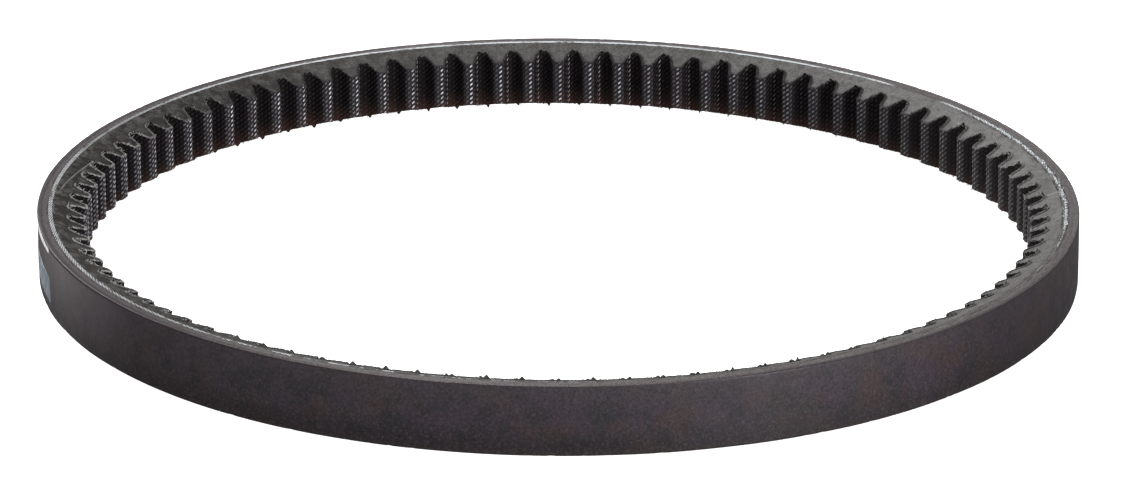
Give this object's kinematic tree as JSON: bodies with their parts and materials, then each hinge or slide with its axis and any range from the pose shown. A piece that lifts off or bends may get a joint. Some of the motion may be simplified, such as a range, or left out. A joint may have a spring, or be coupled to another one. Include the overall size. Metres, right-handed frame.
{
  "type": "cogged v belt",
  "caption": "Endless raw-edge V-belt with moulded cogs on the inside, square shoulders, tapered flanks and a wound cord showing along its edge.",
  "frame": {"origin": "centre of the loop, halfway up the belt's width", "axes": "+Z along the loop's axis, the direction the pulley shafts point; +X along the long axis of the slightly oval loop, through a notch between two cogs"},
  "size_m": [0.1936, 0.1882, 0.0126],
  "materials": {
    "cover_rubber": "smooth dark brown-black rubber with faint mottling, dull satin",
    "gum_rubber": "cut edge of gum rubber, grey-brown, matt",
    "fibre_rubber": "ground flank of fibre-loaded rubber, grey, matt and slightly grainy",
    "facing_fabric": "black rubberised twill with slanting threads that catch the light",
    "polyester_cord": "pale bluish-white twisted cord, cut flush",
    "mark_ink": "thin pale transfer film without lettering"
  },
  "bodies": {
    "root": {"backing_cover": "cover_rubber", "overcord_gum": "gum_rubber", "tensile_cord": "polyester_cord", "undercord_gum": "gum_rubber", "compression_rubber_short": "fibre_rubber", "compression_rubber_long": "fibre_rubber", "facing_fabric_short": "facing_fabric", "facing_fabric_long": "facing_fabric", "mark_upper": "mark_ink", "mark_lower": "mark_ink"}
  },
  "joints": []
}
